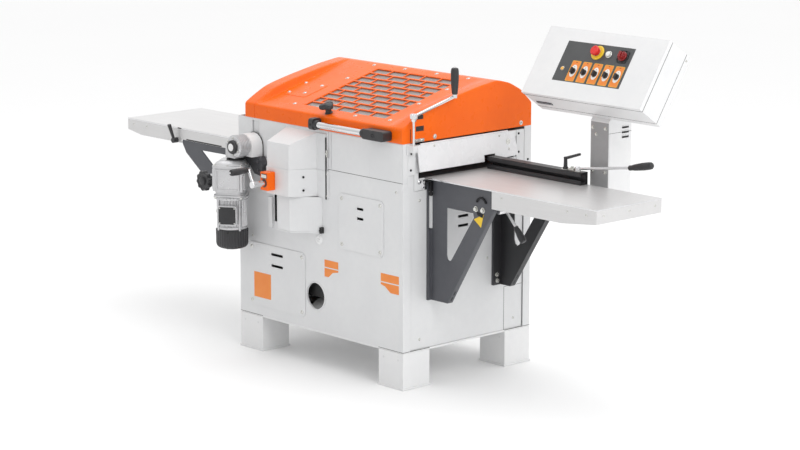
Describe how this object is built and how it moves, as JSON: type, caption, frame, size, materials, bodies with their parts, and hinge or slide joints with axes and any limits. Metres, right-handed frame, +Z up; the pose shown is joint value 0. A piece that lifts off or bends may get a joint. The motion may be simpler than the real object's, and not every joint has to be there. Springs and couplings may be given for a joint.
{
  "type": "four-sided planing and jointing machine",
  "caption": "Floor-standing four-sided planer and jointer: cabinet on legs, hinged slatted hood, feed tables on gusset brackets, feed drive, cranks and a tilted control box on a pedestal.",
  "frame": {"origin": "floor level under the middle of the whole machine's bounding box", "axes": "+X along the feed line towards the infeed end, -Y towards the operator, +Z up"},
  "size_m": [2.938, 1.024, 1.4375],
  "materials": {
    "white_paint": "white powder-coated steel sheet",
    "orange_paint": "orange powder-coated steel sheet",
    "table_steel": "satin ground steel tables",
    "grey_paint": "dark grey painted steel brackets",
    "black_plastic": "black plastic grips, knobs and black rail",
    "cast_aluminium": "cast aluminium gearbox, variator and motor housings",
    "bright_steel": "bright steel bars, cranks and cutterheads",
    "cast_iron": "machined and painted cast iron inside the cabinet",
    "red_plastic": "red mushroom button",
    "ivory_plastic": "white push button",
    "guard_paint": "white painted guard plate"
  },
  "bodies": {
    "machine": {"base_frame": "white_paint", "front_panel": "white_paint", "upper_front_panel": "white_paint", "rear_panel": "white_paint", "infeed_end_panel": "white_paint", "outfeed_end_panel": "white_paint", "bed_casting": "cast_iron", "infeed_table": "table_steel", "outfeed_table": "table_steel", "infeed_bracket_front": "grey_paint", "infeed_bracket_rear": "black_plastic", "outfeed_brace_front": "grey_paint", "outfeed_brace_rear": "grey_paint", "access_panel_low": "white_paint", "access_panel_mid": "white_paint", "drive_cover": "white_paint", "drive_cover_lower": "white_paint", "position_counter": "orange_paint", "fence_rail": "black_plastic", "crank_bracket": "cast_aluminium", "control_pedestal": "white_paint", "control_box": "white_paint", "cutter_motor": "cast_iron"},
    "hood": {"hood_shell": "orange_paint", "hood_grate": "orange_paint", "hood_handle": "bright_steel"},
    "hood_knob": {"hood_knob": "black_plastic"},
    "head": {"head_carriage": "cast_iron", "gearbox_arch": "cast_aluminium", "worm_gearbox": "cast_aluminium", "variator_body": "cast_aluminium", "feed_motor": "cast_aluminium"},
    "speed_knob": {"speed_knob": "black_plastic"},
    "feed_roller_front": {"feed_roller_front": "cast_aluminium"},
    "feed_roller_rear": {"feed_roller_rear": "cast_aluminium"},
    "top_cutterhead": {"top_cutterhead": "bright_steel"},
    "bottom_cutterhead": {"bottom_cutterhead": "bright_steel"},
    "inner_side_spindle": {"inner_side_spindle": "bright_steel"},
    "side_slide": {"side_carriage": "cast_iron"},
    "outer_side_spindle": {"outer_side_spindle": "bright_steel"},
    "height_crank": {"height_crank": "bright_steel"},
    "height_crank_grip": {"height_crank_grip": "black_plastic"},
    "side_crank": {"side_crank": "bright_steel"},
    "side_crank_grip": {"side_crank_grip": "black_plastic"},
    "infeed_guard": {"infeed_guard": "guard_paint"},
    "fence_clamp_lever": {"fence_clamp_lever": "black_plastic"},
    "fence_rod_lever": {"fence_rod_lever": "bright_steel"},
    "table_lever": {"table_lever": "black_plastic"},
    "outfeed_clamp_lever": {"outfeed_clamp_lever": "black_plastic"},
    "control_door": {"control_door": "white_paint"},
    "estop_button": {"estop_button": "red_plastic"},
    "start_button": {"start_button": "ivory_plastic"},
    "main_switch": {"main_switch": "black_plastic"},
    "motor_switch_1": {"motor_switch_1": "black_plastic"},
    "motor_switch_2": {"motor_switch_2": "black_plastic"},
    "motor_switch_3": {"motor_switch_3": "black_plastic"},
    "motor_switch_4": {"motor_switch_4": "black_plastic"},
    "motor_switch_5": {"motor_switch_5": "black_plastic"}
  },
  "joints": [
    {"name": "hood_hinge", "type": "hinge", "parent": "machine", "child": "hood", "pos_m": [0.042, 0.514, 0.9955], "axis": [-1, 0, 0], "range_deg": [0, 65]},
    {"name": "hood_knob_turn", "type": "hinge", "parent": "hood", "child": "hood_knob", "pos_m": [0.082, -0.182, 1.06368], "axis": [0, -0.2645, 0.9644], "continuous": true},
    {"name": "head_height", "type": "slide", "parent": "machine", "child": "head", "axis": [0, 0, 1], "range_m": [-0.01, 0.055]},
    {"name": "speed_knob_turn", "type": "hinge", "parent": "head", "child": "speed_knob", "pos_m": [-0.537, -0.322, 0.722], "axis": [0, -1, 0], "range_deg": [-150, 150]},
    {"name": "feed_roller_front_spin", "type": "hinge", "parent": "head", "child": "feed_roller_front", "pos_m": [0.342, 0.15, 0.912], "axis": [0, 1, 0], "continuous": true},
    {"name": "feed_roller_rear_spin", "type": "hinge", "parent": "head", "child": "feed_roller_rear", "pos_m": [-0.342, 0.15, 0.907], "axis": [0, 1, 0], "continuous": true},
    {"name": "top_cutterhead_spin", "type": "hinge", "parent": "head", "child": "top_cutterhead", "pos_m": [0.022, -0.085, 0.918], "axis": [0, 1, 0], "continuous": true},
    {"name": "bottom_cutterhead_spin", "type": "hinge", "parent": "machine", "child": "bottom_cutterhead", "pos_m": [0.162, -0.088, 0.8045], "axis": [0, 1, 0], "continuous": true},
    {"name": "inner_spindle_spin", "type": "hinge", "parent": "machine", "child": "inner_side_spindle", "pos_m": [-0.123, 0.326, 0.78], "axis": [0, 0, 1], "continuous": true},
    {"name": "side_carriage_slide", "type": "slide", "parent": "machine", "child": "side_slide", "axis": [0, 1, 0], "range_m": [-0.006, 0.1]},
    {"name": "outer_spindle_spin", "type": "hinge", "parent": "side_slide", "child": "outer_side_spindle", "pos_m": [-0.238, -0.04, 0.78], "axis": [0, 0, 1], "continuous": true},
    {"name": "height_crank_turn", "type": "hinge", "parent": "machine", "child": "height_crank", "pos_m": [0.574, -0.172, 1.1], "axis": [0, 0, 1], "range_deg": [-400, 2050]},
    {"name": "height_crank_grip_spin", "type": "hinge", "parent": "height_crank", "child": "height_crank_grip", "pos_m": [0.574, 0.05, 1.163], "axis": [0, 0, 1], "continuous": true},
    {"name": "side_crank_turn", "type": "hinge", "parent": "machine", "child": "side_crank", "pos_m": [-0.122, -0.359, 0.77], "axis": [0, 1, 0], "range_deg": [-260, 3650]},
    {"name": "side_crank_grip_spin", "type": "hinge", "parent": "side_crank", "child": "side_crank_grip", "pos_m": [-0.15102, -0.4215, 0.82704], "axis": [0, 1, 0], "continuous": true},
    {"name": "infeed_guard_hinge", "type": "hinge", "parent": "machine", "child": "infeed_guard", "pos_m": [0.558, 0.121, 0.988], "axis": [0, -1, 0], "range_deg": [0, 55]},
    {"name": "fence_clamp_turn", "type": "hinge", "parent": "machine", "child": "fence_clamp_lever", "pos_m": [0.986, 0.257, 0.9], "axis": [0, 0, 1], "range_deg": [-60, 60]},
    {"name": "fence_rod_turn", "type": "hinge", "parent": "machine", "child": "fence_rod_lever", "pos_m": [1.052, 0.257, 0.9003], "axis": [0, 0, 1], "range_deg": [-75, 0]},
    {"name": "table_lever_turn", "type": "hinge", "parent": "machine", "child": "table_lever", "pos_m": [0.904, -0.03, 0.755], "axis": [0, 1, 0], "range_deg": [-35, 40]},
    {"name": "outfeed_clamp_turn", "type": "hinge", "parent": "machine", "child": "outfeed_clamp_lever", "pos_m": [-1.108, -0.043, 0.792], "axis": [0, 1, 0], "range_deg": [-60, 35]},
    {"name": "control_door_hinge", "type": "hinge", "parent": "machine", "child": "control_door", "pos_m": [0.79, 0.30248, 1.30351], "axis": [0, -0.5548, -0.832], "range_deg": [0, 100]},
    {"name": "estop_press", "type": "slide", "parent": "control_door", "child": "estop_button", "axis": [0, 0.832, -0.5548], "range_m": [0, 0.005], "stiffness_N_per_m": 500},
    {"name": "start_press", "type": "slide", "parent": "control_door", "child": "start_button", "axis": [0, 0.832, -0.5548], "range_m": [0, 0.003], "stiffness_N_per_m": 300},
    {"name": "main_switch_turn", "type": "hinge", "parent": "control_door", "child": "main_switch", "pos_m": [1.224, 0.31802, 1.35926], "axis": [0, 0.832, -0.5548], "range_deg": [0, 90]},
    {"name": "motor_switch_1_turn", "type": "hinge", "parent": "control_door", "child": "motor_switch_1", "pos_m": [1.007, 0.26974, 1.28688], "axis": [0, 0.832, -0.5548], "range_deg": [-45, 45]},
    {"name": "motor_switch_2_turn", "type": "hinge", "parent": "control_door", "child": "motor_switch_2", "pos_m": [1.064, 0.26974, 1.28688], "axis": [0, 0.832, -0.5548], "range_deg": [-45, 45]},
    {"name": "motor_switch_3_turn", "type": "hinge", "parent": "control_door", "child": "motor_switch_3", "pos_m": [1.121, 0.26974, 1.28688], "axis": [0, 0.832, -0.5548], "range_deg": [-45, 45]},
    {"name": "motor_switch_4_turn", "type": "hinge", "parent": "control_door", "child": "motor_switch_4", "pos_m": [1.178, 0.26974, 1.28688], "axis": [0, 0.832, -0.5548], "range_deg": [-45, 45]},
    {"name": "motor_switch_5_turn", "type": "hinge", "parent": "control_door", "child": "motor_switch_5", "pos_m": [1.235, 0.26974, 1.28688], "axis": [0, 0.832, -0.5548], "range_deg": [-45, 45]}
  ],
  "couplings": [
    {"joint": "height_crank_turn", "follows": "head_height", "rad_per_m": 628.32},
    {"joint": "side_crank_turn", "follows": "side_carriage_slide", "rad_per_m": 628.32},
    {"joint": "feed_roller_rear_spin", "follows": "feed_roller_front_spin", "ratio": 1.1613}
  ]
}
